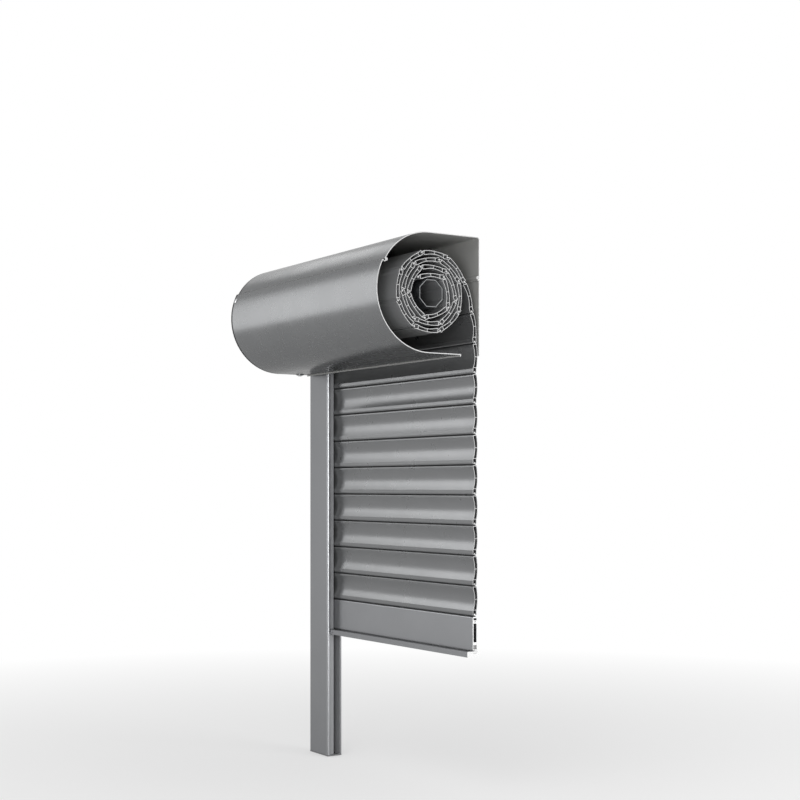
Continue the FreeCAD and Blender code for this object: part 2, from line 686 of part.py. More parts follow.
def wind():
    # beads from the innermost slat out to the coil's end, over the free slats and down the curtain
    turns = [0.0]
    radii = [coil_first_radius]
    for _ in range(wound_slats):
        turn, outer = next_bead(radii[-1])
        turns.append(turns[-1] + turn)
        radii.append(outer)
    pitch = size["slat_pitch"]
    low, high = 0.0, 1.4
    for _ in range(60):
        first_tilt = (low + high) / 2
        tilts = [first_tilt * size["run_off_ratio"] ** index for index in range(free_slats)]
        end_y = curtain_y - roller_y - pitch * sum(math.sin(tilt) for tilt in tilts)
        end_z = -size["curtain_top"] - roller_z + pitch * sum(math.cos(tilt) for tilt in tilts)
        low, high = (first_tilt, high) if math.hypot(end_y, end_z) > radii[-1] else (low, first_tilt)
    end_angle = math.atan2(end_z, end_y)
    beads = []
    for turn, radius in zip(turns, radii):
        angle = end_angle + turns[-1] - turn
        beads.append(point(roller_y + radius * math.cos(angle), roller_z + radius * math.sin(angle)))
    for tilt in tilts + [0.0] * hanging_slats:
        beads.append(beads[-1] + point(pitch * math.sin(tilt), -pitch * math.cos(tilt)))
    return beads


beads = wind()


def hung_at(bead, below):
    # placement that hangs a section drawn under the origin from one bead towards the next
    tilt = math.atan2(below.x - bead.x, bead.y - below.y)
    turn = FreeCAD.Rotation(FreeCAD.Vector(1, 0, 0), math.degrees(tilt))
    return FreeCAD.Placement(FreeCAD.Vector(slat_left, bead.x, bead.y), turn)


# Slat section: drawn hanging from its bead; down is the distance below the bead, back is towards the window

def under(down, back):
    return point(back, -down)


class Bow:
    # an arc through three (down, back) points
    def __init__(self, first, middle, last):
        self.ends = (first, last)
        (x1, y1), (x2, y2), (x3, y3) = first, middle, last
        d = 2 * (x1 * (y2 - y3) + x2 * (y3 - y1) + x3 * (y1 - y2))
        s1, s2, s3 = x1 ** 2 + y1 ** 2, x2 ** 2 + y2 ** 2, x3 ** 2 + y3 ** 2
        self.down = (s1 * (y2 - y3) + s2 * (y3 - y1) + s3 * (y1 - y2)) / d
        self.back = (s1 * (x3 - x2) + s2 * (x1 - x3) + s3 * (x2 - x1)) / d
        self.radius = math.hypot(x1 - self.down, y1 - self.back)

    def at(self, down, inset=0.0):
        # the point of the arc at this height, moved inset towards the arc's centre
        radius = self.radius - inset
        return under(down, self.back + math.sqrt(radius ** 2 - (down - self.down) ** 2))


pitch = size["slat_pitch"]
lean = math.radians(size["neck_lean"])
neck_half = size["neck_wall"] / 2
neck_root = math.sqrt(size["bead_radius"] ** 2 - neck_half ** 2)
socket_down = pitch - size["bead_drop"]
socket_top = pitch - size["bead_drop"] - size["socket_height"]
shoulder_down = socket_top + 1.2


def along_neck(distance, side):
    # side is +1 on the window side of the neck
    return under(distance * math.cos(lean) - side * neck_half * math.sin(lean),
                 distance * math.sin(lean) + side * neck_half * math.cos(lean))


def round_socket(radius, degrees):
    # degrees from straight down, positive towards the front
    a = math.radians(degrees)
    return under(socket_down + radius * math.cos(a), -radius * math.sin(a))


def neck_steps():
    # from the rear corner over the bead to the front side of the neck at the body's top edge
    top_reach = (size["slat_head"] - neck_half * math.sin(lean)) / math.cos(lean)
    return [
        along_neck(size["neck_length"], 1),
        along_neck(neck_root, 1),
        (under(-size["bead_radius"] * math.cos(lean), -size["bead_radius"] * math.sin(lean)),
         along_neck(neck_root, -1)),
        along_neck(top_reach, -1),
    ]


def slat_loops():
    half = size["slat_body"] / 2
    head = size["slat_head"]
    neck_end = along_neck(size["neck_length"], 1)
    rear = Bow((-neck_end.y, neck_end.x), (pitch / 2, size["slat_sagitta"] + half),
               (shoulder_down, socket_outside))
    notch = head + 3.5
    brow = -size["slat_brow"]
    face_bow = Bow((notch, brow + 0.1), (pitch / 2 + 1.4, size["slat_sagitta"] + 0.1 - half),
                   (shoulder_down, -socket_outside))
    r_in, r_out = size["socket_radius"], socket_outside
    front_lip, rear_lip = size["lip_front"], -size["lip_rear"]
    corner = under(shoulder_down - 0.2, -r_in)
    outside = outline(
        *neck_steps(),
        under(head, brow + 0.9),
        (under(head + 0.25, brow + 0.25), under(head + 0.9, brow)),
        under(notch - 0.8, brow),
        under(notch - 0.4, brow + 0.45),
        under(notch, brow + 0.1),
        (face_bow.at(pitch / 2), under(shoulder_down, -r_out)),
        under(socket_down, -r_out),
        (round_socket(r_out, (90 + front_lip) / 2), round_socket(r_out, front_lip)),
        round_socket(r_in, front_lip),
        (round_socket(r_in, (90 + front_lip) / 2), under(socket_down, -r_in)),
        corner,
        under(socket_top, -r_in + 0.7),
        under(socket_top, r_in - 0.7),
        under(shoulder_down - 0.2, r_in),
        under(socket_down, r_in),
        (round_socket(r_in, (rear_lip - 90) / 2), round_socket(r_in, rear_lip)),
        round_socket(r_out, rear_lip),
        (round_socket(r_out, (rear_lip - 90) / 2), under(socket_down, r_out)),
        under(shoulder_down, r_out),
        (rear.at(pitch / 2), neck_end))
    wall = size["slat_wall"]

    def chamber(top, front_top, bottom, *corner):
        return outline(
            *corner,
            face_bow.at(front_top, -wall),
            (face_bow.at((front_top + bottom) / 2, -wall), face_bow.at(bottom, -wall)),
            rear.at(bottom, wall),
            (rear.at((top + bottom) / 2, wall), rear.at(top, wall)))

    upper_top = head + wall + 0.2
    upper_end = upper_top + size["first_chamber"]
    lower_top = upper_end + wall
    upper = chamber(upper_top, notch + 0.6, upper_end, under(upper_top - 0.2, brow + wall))
    return [outside, upper, chamber(lower_top, lower_top, socket_top - wall)]


slat_length = "Sizes.box_length - Sizes.slat_inset"


def curtain():
    # slats are numbered from the bottom of the curtain up to the roller
    loops = slat_loops()
    count = len(beads) - 1
    for number in range(1, count + 1):
        top = beads[count - number]
        below = beads[count - number + 1]
        name = "slat_%02d" % number
        keep(padded(name, "YZ_Plane", loops, slat_length, hung_at(top, below)), name)


def slat_end_clips():
    # one plastic clip in the lower chamber of each hanging slat, at the end that runs in the rail
    clips = []
    for number in range(1, hanging_slats + 1):
        bead = beads[len(beads) - 1 - number]
        level = bead.y - size["first_chamber"] - size["slat_head"] - size["clip_tongue"]
        front = bead.x - size["slat_wall"] / 5
        rear = front + size["slat_body"] - size["bead_radius"] / 2
        plate_low = level - size["clip_height"] / 2
        tongue_front = bead.x + size["slat_body"] / 4
        tongue_rear = bead.x + size["slat_body"] * 0.65
        clips.append(fused("slat_clip_%d" % number, [
            block("clip_tongue_%d" % number,
                  (slat_left - size["clip_plate"] / 2, tongue_front, level - size["clip_tongue"]),
                  (slat_left + size["clip_reach"], tongue_rear, level)),
            block("clip_head_%d" % number,
                  (slat_left - size["clip_plate"], front, plate_low),
                  (slat_left, rear, plate_low + size["clip_height"])),
        ]))
    keep(grouped("clip_group", clips), "slat_end_clips")


# Hanger straps: a foot riveted to one flat of the shaft and a hook round the first bead of the coil

first_bead = beads[0]
bead_bearing = math.degrees(math.atan2(first_bead.y - roller_z, first_bead.x - roller_y))
foot_bearing = 45 * round((bead_bearing + 45) / 45)
strap_normal = (0, math.cos(math.radians(foot_bearing)), math.sin(math.radians(foot_bearing)))
strap_places = [slat_left + 70, cut_plane - 90]


def on_flat(out, along):
    # out from the shaft's flat, along towards the coil's first bead
    a = math.radians(foot_bearing)
    reach = size["shaft_flats"] / 2 + out
    return point(roller_y + reach * math.cos(a) + along * math.sin(a),
                 roller_z + reach * math.sin(a) - along * math.cos(a))


def strap_rivet_bases():
    spot = on_flat(size["strap_wall"], -size["strap_foot"] / 4)
    return [(place, spot.x, spot.y) for place in strap_places]


def hanger_straps():
    wall = size["strap_wall"]
    eye_in = size["bead_radius"] + 0.25
    eye_out = eye_in + wall
    second = beads[1]
    chord = math.degrees(math.atan2(second.y - first_bead.y, second.x - first_bead.x))
    neck_way = chord + size["neck_lean"]
    opening = 38
    eye = outline(
        polar(first_bead, eye_in, neck_way + opening),
        (polar(first_bead, eye_in, neck_way + 180), polar(first_bead, eye_in, neck_way - opening)),
        polar(first_bead, eye_out, neck_way - opening),
        (polar(first_bead, eye_out, neck_way + 180), polar(first_bead, eye_out, neck_way + opening)))
    toe = size["strap_foot"] / 4
    heel = toe - size["strap_foot"]
    foot = outline(on_flat(0, heel), on_flat(wall, heel), on_flat(wall, toe), on_flat(0, toe))
    root = on_flat(wall / 2, toe - wall / 5)
    way = math.degrees(math.atan2(first_bead.y - root.y, first_bead.x - root.x))
    stop = polar(first_bead, (eye_in + eye_out) / 2, way + 180)
    link = outline(polar(root, wall / 2, way + 90), polar(stop, wall / 2, way + 90),
                   polar(stop, wall / 2, way - 90), polar(root, wall / 2, way - 90))
    straps = []
    rivets = []
    for index, base in enumerate(strap_rivet_bases()):
        left = base[0] - size["strap_width"] / 2
        place = at(left, 0, 0)
        strips = [padded("strap_%s_%d" % (name, index), "YZ_Plane", [loop], "Sizes.strap_width", place)
                  for name, loop in (("eye", eye), ("foot", foot), ("link", link))]
        hole = through_hole("strap_hole_%d" % index, "Sizes.rivet_radius", base, strap_normal, "4")
        straps.append(cut("strap_%d" % index, fused("strap_blank_%d" % index, strips), [hole]))
        rivets.append(domed_fastener("strap_rivet_%d" % index, size["rivet_radius"], 3.6, 3.0, 1.1,
                                     base, strap_normal))
    keep(grouped("strap_group", straps), "hanger_straps")
    keep(grouped("strap_rivet_group", rivets), "hanger_rivets")


# Bottom bar, its plug and the stop strip that clips on underneath

def bottom_bar():
    front, rear = -size["bar_front"], size["bar_rear"]
    wall = size["bar_wall"]
    head = size["slat_head"]
    low = size["bar_height"]
    neck_end = along_neck(size["neck_length"], 1)
    middle = (front + rear) / 2
    foot_top = low + size["stop_gap"] + 1.9
    outside = outline(
        *neck_steps(),
        under(head, front + 1.5),
        (under(head + 0.45, front + 0.45), under(head + 1.5, front)),
        under(low, front),
        under(low, middle - 0.8),
        under(foot_top, middle - 0.8),
        under(foot_top, middle - 2.4),
        under(foot_top + 1.4, middle - 2.4),
        under(foot_top + 1.4, middle + 2.4),
        under(foot_top, middle + 2.4),
        under(foot_top, middle + 0.8),
        under(low, middle + 0.8),
        under(low, rear),
        under(head + 1.2, rear),
        neck_end)

    def chamber(top, bottom, front_side=front + wall, rear_side=rear - wall):
        return outline(under(top, front_side), under(top, rear_side),
                       under(bottom, rear_side), under(bottom, front_side))

    web = 0.5
    loops = [
        outside,
        chamber(head + wall + 0.4, head + 5.0),
        circle(under(head + 7.2, middle), 1.0),
        chamber(head + 9.8, low - 11.8),
        chamber(low - 7.7, low - wall, front + wall, middle - web),
        chamber(low - 7.7, low - wall, middle + web, rear - wall),
    ]
    place = hung_at(beads[-1], beads[-1] + point(0, -1))
    keep(padded("bottom_bar", "YZ_Plane", loops, slat_length, place), "bottom_bar")

    strip_top = low + size["stop_gap"]
    strip_low = strip_top + size["stop_height"]
    left, right = -size["stop_front"], size["stop_rear"]
    bend = 1.2
    cut_in = bend * (1 - math.sqrt(0.5))
    strip = outline(
        under(strip_top, left + bend),
        under(strip_top, middle - 1.1),
        under(foot_top - 0.05, middle - 1.1),
        under(foot_top - 0.05, middle - 2.7),
        under(foot_top + 1.7, middle - 2.7),
        under(foot_top + 1.7, middle + 2.7),
        under(foot_top - 0.05, middle + 2.7),
        under(foot_top - 0.05, middle + 1.1),
        under(strip_top, middle + 1.1),
        under(strip_top, right - bend),
        (under(strip_top + cut_in, right - cut_in), under(strip_top + bend, right)),
        under(strip_low, right),
        under(strip_low, left),
        under(strip_top + bend, left),
        (under(strip_top + cut_in, left + cut_in), under(strip_top, left + bend)))
    strip_place = at(rail_mouth + size["stop_inset"], beads[-1].x, beads[-1].y)
    keep(padded("stop_strip", "YZ_Plane", [strip], "Sizes.box_length - Sizes.rail_width - Sizes.stop_inset",
                strip_place), "stop_strip")

    bar_z = beads[-1].y
    bar_y = beads[-1].x
    keep(fused("bar_plug_whole", [
        block("bar_plug_tongue", (slat_left - 0.5, bar_y + front + wall + 0.15, bar_z - low + 12.2),
              (slat_left + 16, bar_y + rear - wall - 0.15, bar_z - head - 10.2)),
        block("bar_plug_head", (slat_left - 1.5, bar_y + front, bar_z - low),
              (slat_left, bar_y + rear, bar_z - head - 1)),
    ]), "bottom_bar_plug")


# Guide rail: section in plan, with a closed outer chamber, the slat groove and a crease on its face

def guide_rail():
    wall = size["rail_wall"]
    depth = size["rail_depth"]
    lip_inside = -depth + size["rail_lip"]
    mouth = rail_mouth
    crease = mouth - size["crease_inset"]
    turn = size["rail_rounding"]
    cut_in = turn * (1 - math.sqrt(0.5))
    nose = size["mouth_rounding"]
    nose_cut = nose * (1 - math.sqrt(0.5))
    slot = mouth - size["slot_inset"]
    neck = size["slot_neck"] / 2
    head = size["slot_head"] / 2
    outside = outline(
        point(left_end, -depth + turn),
        (point(left_end + cut_in, -depth + cut_in), point(left_end + turn, -depth)),
        point(crease - 0.5, -depth),
        point(crease, -depth + 0.4),
        point(crease + 0.5, -depth),
        point(mouth - nose, -depth),
        (point(mouth - nose_cut, -depth + nose_cut), point(mouth, -depth + nose)),
        point(mouth, lip_inside),
        point(slot + neck, lip_inside),
        point(slot + neck, lip_inside - 1.1),
        point(slot + head, lip_inside - 1.1),
        point(slot + head, lip_inside - 2.7),
        point(slot - head, lip_inside - 2.7),
        point(slot - head, lip_inside - 1.1),
        point(slot - neck, lip_inside - 1.1),
        point(slot - neck, lip_inside),
        point(groove_floor, lip_inside),
        point(groove_floor, -wall),
        point(mouth, -wall),
        point(mouth, 0),
        point(left_end, 0))
    chambers = [
        rectangle(left_end + wall, -depth + wall, groove_floor - wall, -wall),
        rectangle(groove_floor, -depth + wall, slot - head - 2, lip_inside - 1.2),
    ]
    rail_foot = box_floor - size["rail_length"]
    bar = padded("rail_profile", "XY_Plane", [outside] + chambers, "Sizes.rail_length", at(0, 0, rail_foot))
    holes = []
    for index in range(2):
        level = box_floor - size["fixing_first"] - index * size["fixing_spacing"]
        holes.append(cylinder("fixing_hole_%d" % index, "Sizes.fixing_hole", "Sizes.rail_wall + 2",
                              (left_end - 1, -depth / 2, level), (1, 0, 0)))
        holes.append(cylinder("driver_hole_%d" % index, "Sizes.fixing_hole + 2.9", "Sizes.rail_wall + 2",
                              (groove_floor - wall - 1, -depth / 2, level), (1, 0, 0)))
    keep(cut("rail_drilled", bar, holes), "guide_rail")

    slide_face = curtain_y - socket_outside - size["slide_gap_front"]
    foot = lip_inside - 1.1
    high_x = mouth - size["insert_inset"]
    low_x = high_x - size["insert_width"]
    inner_neck = neck - size["spigot_fit"]
    inner_head = head - size["spigot_fit"]
    insert = outline(
        point(low_x, lip_inside),
        point(low_x, slide_face),
        point(high_x, slide_face),
        point(high_x, lip_inside),
        point(slot + inner_neck, lip_inside),
        point(slot + inner_neck, foot - 0.1),
        point(slot + inner_head, foot - 0.1),
        point(slot + inner_head, foot - 1.3),
        point(slot - inner_head, foot - 1.3),
        point(slot - inner_head, foot - 0.1),
        point(slot - inner_neck, foot - 0.1),
        point(slot - inner_neck, lip_inside))
    hollow = rectangle(low_x + 1.2, lip_inside + 1.2, high_x - 1.2, slide_face - 1.2)
    keep(padded("front_insert", "XY_Plane", [insert, hollow], "Sizes.rail_length", at(0, 0, rail_foot)),
         "rail_insert_front")
    rear_face = curtain_y + size["slat_sagitta"] + size["slat_body"] / 2 + size["slide_gap_rear"]
    keep(padded("rear_insert", "XY_Plane", [rectangle(groove_floor + 0.5, rear_face, mouth - 0.5, -wall)],
                "Sizes.rail_length", at(0, 0, rail_foot)), "rail_insert_rear")

    flare = size["funnel_height"]
    front_jaw = outline(
        point(lip_inside, box_floor),
        point(slide_face, box_floor),
        point(slide_face, box_floor + 4),
        point(lip_inside + 3, box_floor + flare),
        point(lip_inside, box_floor + flare))
    rear_jaw = outline(
        point(rear_face, box_floor),
        point(rear_inside - 0.1, box_floor),
        point(rear_inside - 0.1, box_floor + flare - 4),
        point(rear_inside - 0.7, box_floor + flare - 4))
    jaws = [padded(label, "YZ_Plane", [loop], "Sizes.groove_depth", at(groove_floor, 0, 0))
            for label, loop in (("front_jaw", front_jaw), ("rear_jaw", rear_jaw))]
    bridge = block("jaw_bridge", (groove_floor - 1.4, lip_inside, box_floor),
                   (groove_floor + 1.4, rear_inside - 0.1, box_floor + 4))
    keep(fused("funnel_whole", jaws + [bridge]), "inlet_funnel")

    tongue_low, tongue_high = rail_chamber()
    tongue_hollow = rectangle(tongue_low[0] + 2, tongue_low[1] + 2, tongue_high[0] - 2, tongue_high[1] - 2)
    keep(fused("rail_plug_whole", [
        padded("rail_plug_tongue", "XY_Plane", [rectangle(*tongue_low, *tongue_high), tongue_hollow],
               "Sizes.foot_tongue + 1", at(0, 0, rail_foot - 1)),
        padded("rail_plug_plate", "XY_Plane", [rectangle(left_end, -depth, mouth, 0)],
               "Sizes.foot_plate", at(0, 0, rail_foot - size["foot_plate"])),
    ]), "rail_end_plug")


panels_with_holes()
cover_with_holes()
end_cap()
fasteners()
ball_bearing()
roller()
hanger_straps()
curtain()
slat_end_clips()
bottom_bar()
guide_rail()
document.recompute()

for thing in document.Objects:
    if "Invalid" in thing.State or "Error" in thing.State:
        raise RuntimeError("%s did not build: %s" % (thing.Label, thing.State))
for part in parts:
    if part.Shape.isNull() or not part.Shape.isValid() or not part.Shape.Solids:
        raise RuntimeError("%s has no valid solid" % part.Label)

os.makedirs("parts", exist_ok=True)
for part in parts:
    part.Shape.exportStep("parts/%s.step" % part.Label)
    print("%-24s %3d solids %12.1f mm3" % (part.Label, len(part.Shape.Solids), part.Shape.Volume))
print("%d parts" % len(parts))
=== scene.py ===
import json
import math
import bpy
import numpy as np
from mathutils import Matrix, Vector

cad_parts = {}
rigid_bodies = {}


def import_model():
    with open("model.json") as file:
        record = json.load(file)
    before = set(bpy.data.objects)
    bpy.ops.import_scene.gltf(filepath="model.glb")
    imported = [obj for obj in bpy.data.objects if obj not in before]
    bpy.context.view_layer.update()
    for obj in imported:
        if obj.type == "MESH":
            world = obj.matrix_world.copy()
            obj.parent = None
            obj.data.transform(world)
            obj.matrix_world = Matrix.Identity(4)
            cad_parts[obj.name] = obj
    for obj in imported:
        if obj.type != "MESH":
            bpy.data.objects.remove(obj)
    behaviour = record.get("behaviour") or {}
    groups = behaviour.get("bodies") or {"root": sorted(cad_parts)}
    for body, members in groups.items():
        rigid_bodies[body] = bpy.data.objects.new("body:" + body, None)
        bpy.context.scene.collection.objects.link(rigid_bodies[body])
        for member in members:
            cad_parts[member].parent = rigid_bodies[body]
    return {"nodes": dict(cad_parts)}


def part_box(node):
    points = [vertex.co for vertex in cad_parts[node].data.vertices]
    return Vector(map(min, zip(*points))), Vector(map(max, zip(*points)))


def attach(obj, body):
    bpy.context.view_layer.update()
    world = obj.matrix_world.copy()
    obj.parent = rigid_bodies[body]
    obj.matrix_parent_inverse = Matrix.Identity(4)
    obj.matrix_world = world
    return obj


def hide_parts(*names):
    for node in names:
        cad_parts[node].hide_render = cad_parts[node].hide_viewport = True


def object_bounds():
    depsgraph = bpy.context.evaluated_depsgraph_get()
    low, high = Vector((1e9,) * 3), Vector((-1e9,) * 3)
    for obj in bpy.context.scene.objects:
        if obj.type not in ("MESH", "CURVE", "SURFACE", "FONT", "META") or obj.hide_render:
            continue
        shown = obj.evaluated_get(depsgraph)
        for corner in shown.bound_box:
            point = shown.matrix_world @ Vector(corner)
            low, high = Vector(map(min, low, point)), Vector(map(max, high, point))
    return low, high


for leftover in list(bpy.data.objects):      # Blender's own start-up cube, lamp and camera
    bpy.data.objects.remove(leftover)
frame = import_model()
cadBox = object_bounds()
nodes = frame["nodes"]
mm = 0.001
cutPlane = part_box("front_cover")[1].x        # the open end, where the shutter is sawn off
arcRadius = 90 * mm                          # of the cover's round front
boxCentre = Vector((0, -arcRadius, 2.2 * mm))
low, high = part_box("octagonal_shaft")
rollerCentre = (low + high) / 2
print("frame loaded:", len(nodes), "nodes")


# colour and nodes

def colour(code):
    # sRGB hex to linear RGBA
    parts = np.array([int(code[i:i + 2], 16) for i in (1, 3, 5)]) / 255
    linear = np.where(parts <= 0.04045, parts / 12.92, ((parts + 0.055) / 1.055) ** 2.4)
    return (*linear.tolist(), 1.0)


def patch(size):
    # scale of a pattern whose patches are size mm wide
    return 1 / (size * mm)


def addNode(tree, kind, inputs=None, output=0, **settings):
    # one node with its settings; an input is a value, or a socket to link from; gives the output asked for
    node = tree.nodes.new("ShaderNode" + kind)
    for name, value in settings.items():
        setattr(node, name, value)
    for name, value in (inputs or {}).items():
        if isinstance(value, bpy.types.NodeSocket):
            tree.links.new(value, node.inputs[name])
        else:
            node.inputs[name].default_value = value
    return node.outputs[output] if len(node.outputs) else node


def newMaterial(name):
    material = bpy.data.materials.new(name)
    material.use_nodes = True
    tree = material.node_tree
    tree.nodes.clear()
    return material, tree, addNode(tree, "TexCoord", output="Object")


wear = {
    "rubbed": 0.72,        # agreement of the rounded and the flat normal at which an edge is fully rubbed
    "fresh": 0.985,        # and at which it is still as coated
    "patch": 9,            # mm
    "least": 0.25,         # share of the wear that every part of an edge has
}


def wornEdge(tree, place, radius, amount):
    # the small rounding of a real edge as a normal, and a patchy 0 to 1 where hands and tools rub that edge
    rounded = addNode(tree, "Bevel", {"Radius": radius * mm}, samples=4)
    flat = addNode(tree, "NewGeometry", output="Normal")
    along = addNode(tree, "VectorMath", {0: rounded, 1: flat}, "Value", operation="DOT_PRODUCT")
    edge = addNode(tree, "MapRange", {"Value": along, "From Min": wear["rubbed"], "From Max": wear["fresh"],
                                      "To Min": 1.0, "To Max": 0.0})
    patches = addNode(tree, "TexNoise", {"Vector": place, "Scale": patch(wear["patch"]), "Detail": 4.0})
    share = addNode(tree, "MapRange", {"Value": patches, "From Min": 0.4, "From Max": 0.7,
                                       "To Min": wear["least"] * amount, "To Max": amount})
    return rounded, addNode(tree, "Math", {0: edge, 1: share}, operation="MULTIPLY")


saw = {
    "mark": 2.2,           # mm between saw marks
    "depth": 0.01,         # mm
    "smooth": 0.42,        # roughness on the marks' crests and in them
    "rough": 0.54,
    "within": 0.08,        # mm from the cut plane that count as section
}


def sawnEnd(tree, place, coated, sawn):
    # the sawn section at the open end: bare metal, whose fine saw marks make it pale and half matt
    marks = addNode(tree, "TexWave", {"Vector": place, "Scale": patch(saw["mark"]), "Distortion": 3.0,
                                      "Detail": 2.0}, "Fac", bands_direction="DIAGONAL")
    gloss = addNode(tree, "MapRange", {"Value": marks, "To Min": saw["smooth"], "To Max": saw["rough"]})
    ridges = addNode(tree, "Bump", {"Height": marks, "Distance": saw["depth"] * mm})
    bare = addNode(tree, "BsdfPrincipled", {"Base Color": colour(sawn), "Metallic": 1.0, "Roughness": gloss,
                                            "Normal": ridges})
    along = addNode(tree, "SeparateXYZ", {"Vector": place}, "X")
    atCut = addNode(tree, "Math", {0: along, 1: cutPlane - saw["within"] * mm}, operation="GREATER_THAN")
    return addNode(tree, "MixShader", {0: atCut, 1: coated, 2: bare})


dusty = {
    "cloud": 22,           # mm
    "thin": 0.92,          # tone under little and under much dust
    "thick": 1.12,
    "smooth": 0.5,         # roughness there
    "rough": 0.7,
}


def mattInside(tree, place, coated, centre, reverse):
    # The plain inner face of a folded or rolled piece: a thin lacquer or dull zinc, matt, even and dusty.
    # A face is an inner one where its normal points back to the middle.
    out = addNode(tree, "VectorMath", {0: place, 1: tuple(centre)}, operation="SUBTRACT")
    across = addNode(tree, "VectorMath", {0: out, 1: (0.0, 1.0, 1.0)}, operation="MULTIPLY")
    facing = addNode(tree, "VectorTransform", {"Vector": addNode(tree, "NewGeometry", output="Normal")},
                     vector_type="NORMAL", convert_from="WORLD", convert_to="OBJECT")
    side = addNode(tree, "VectorMath", {0: across, 1: facing}, "Value", operation="DOT_PRODUCT")
    inner = addNode(tree, "Math", {0: side, 1: 0.0}, operation="LESS_THAN")
    dust = addNode(tree, "TexNoise", {"Vector": place, "Scale": patch(dusty["cloud"]), "Detail": 5.0})
    tone = addNode(tree, "MapRange", {"Value": dust, "To Min": dusty["thin"], "To Max": dusty["thick"]})
    shade = addNode(tree, "Mix", {0: 1.0, 6: colour(reverse), 7: tone}, 2, data_type="RGBA",
                    blend_type="MULTIPLY")
    gloss = addNode(tree, "MapRange", {"Value": dust, "To Min": dusty["smooth"], "To Max": dusty["rough"]})
    lacquer = addNode(tree, "BsdfPrincipled", {"Base Color": shade, "Roughness": gloss})
    return addNode(tree, "MixShader", {0: inner, 1: coated, 2: lacquer})


# finishes: what a user would change is in each dictionary, with sizes in mm

powderCoats = {
    "slatPowderCoat": {"light": "#757677", "dark": "#6f7071", "worn": "#9a9b9c", "metallic": 0.62,
                       "roughness": 0.28, "edge": 0.4, "sawn": "#969696"},
    # A lighter, more matt copy of the slat paint for the coiled slats: painted light, standing in for the
    # light that the box's shade takes from them.
    "coilPowderCoatLightenedForShade": {"light": "#7b7c7d", "dark": "#757677", "worn": "#9a9b9c", "metallic": 0.1,
                       "roughness": 0.4, "edge": 0.4, "sawn": "#969696"},
    "boxPowderCoat": {"light": "#737475", "dark": "#6d6e6f", "worn": "#9a9b9c", "metallic": 0.7,
                      "roughness": 0.27, "edge": 0.7, "sawn": "#a0a0a0", "reverse": "#898987",
                      "bead": "#1c1d1e"},
    "railPowderCoat": {"light": "#87888a", "dark": "#818284", "worn": "#a6a7a8", "metallic": 0.85,
                       "roughness": 0.32, "edge": 0.4, "sawn": "#c4c4c4"},
    "capPowderCoat": {"light": "#2c2d2e", "dark": "#272829", "worn": "#505152", "metallic": 0.3,
                      "roughness": 0.45, "edge": 0.4, "sawn": "#a2a2a2"},
}
film = {
    "cloud": 70,
    "flake": 0.3,
    "dullFlake": 0.97,     # tone of the darkest and of the brightest flake
    "brightFlake": 1.03,
    "peel": 2.4,           # width and height of the orange peel
    "peelHeight": 0.0008,
    "grain": 0.3,
    "grainHeight": 0.0002,
    "glossPatch": 28,
    "glossier": 0.03,      # how far the roughness wanders down and up
    "duller": 0.04,
    "rubbing": 0.45,
    "rimTint": "#b4b4b4",  # of a reflection at a glancing angle
    "sealWidth": 4.6,      # of the dark seal between the end cap and the box panels, cap edge included
}


def powderCoat(name):
    # Polyester powder coat on aluminium: a satin film with metal flakes, a faint orange peel under the gloss,
    # soft clouds of tone, and edges that handling has made paler. The box panels are lacquered plain inside
    # and end in a dark bead of sealant at the cap.
    finish = powderCoats[name]
    material, tree, place = newMaterial(name)
    rounded, rubbed = wornEdge(tree, place, finish["edge"], film["rubbing"])
    cloud = addNode(tree, "TexNoise", {"Vector": place, "Scale": patch(film["cloud"]), "Detail": 3.0})
    shade = addNode(tree, "Mix", {0: cloud, 6: colour(finish["light"]), 7: colour(finish["dark"])}, 2,
                    data_type="RGBA")
    flakes = addNode(tree, "TexVoronoi", {"Vector": place, "Scale": patch(film["flake"])}, "Color")
    sparkle = addNode(tree, "MapRange", {"Value": flakes, "To Min": film["dullFlake"],
                                         "To Max": film["brightFlake"]})
    shade = addNode(tree, "Mix", {0: 1.0, 6: shade, 7: sparkle}, 2, data_type="RGBA", blend_type="MULTIPLY")
    shade = addNode(tree, "Mix", {0: rubbed, 6: shade, 7: colour(finish["worn"])}, 2, data_type="RGBA")
    if "bead" in finish:
        along = addNode(tree, "SeparateXYZ", {"Vector": place}, "X")
        atCap = addNode(tree, "Math", {0: along, 1: cadBox[0].x + film["sealWidth"] * mm},
                        operation="LESS_THAN")
        shade = addNode(tree, "Mix", {0: atCap, 6: shade, 7: colour(finish["bead"])}, 2, data_type="RGBA")
    peel = addNode(tree, "TexNoise", {"Vector": place, "Scale": patch(film["peel"]), "Detail": 1.0})
    wavy = addNode(tree, "Bump", {"Height": peel, "Distance": film["peelHeight"] * mm, "Normal": rounded})
    grain = addNode(tree, "TexNoise", {"Vector": place, "Scale": patch(film["grain"])})
    surface = addNode(tree, "Bump", {"Height": grain, "Distance": film["grainHeight"] * mm, "Normal": wavy})
    flow = addNode(tree, "TexNoise", {"Vector": place, "Scale": patch(film["glossPatch"]), "Detail": 3.0})
    gloss = addNode(tree, "MapRange", {"Value": flow, "To Min": finish["roughness"] - film["glossier"],
                                       "To Max": finish["roughness"] + film["duller"]})
    coated = addNode(tree, "BsdfPrincipled", {"Base Color": shade, "Metallic": finish["metallic"],
                                              "Roughness": gloss, "Normal": surface,
                                              "Specular Tint": colour(film["rimTint"])})
    if "reverse" in finish:
        coated = mattInside(tree, place, coated, boxCentre, finish["reverse"])
    ended = sawnEnd(tree, place, coated, finish["sawn"])
    addNode(tree, "OutputMaterial", {"Surface": ended})
    return material


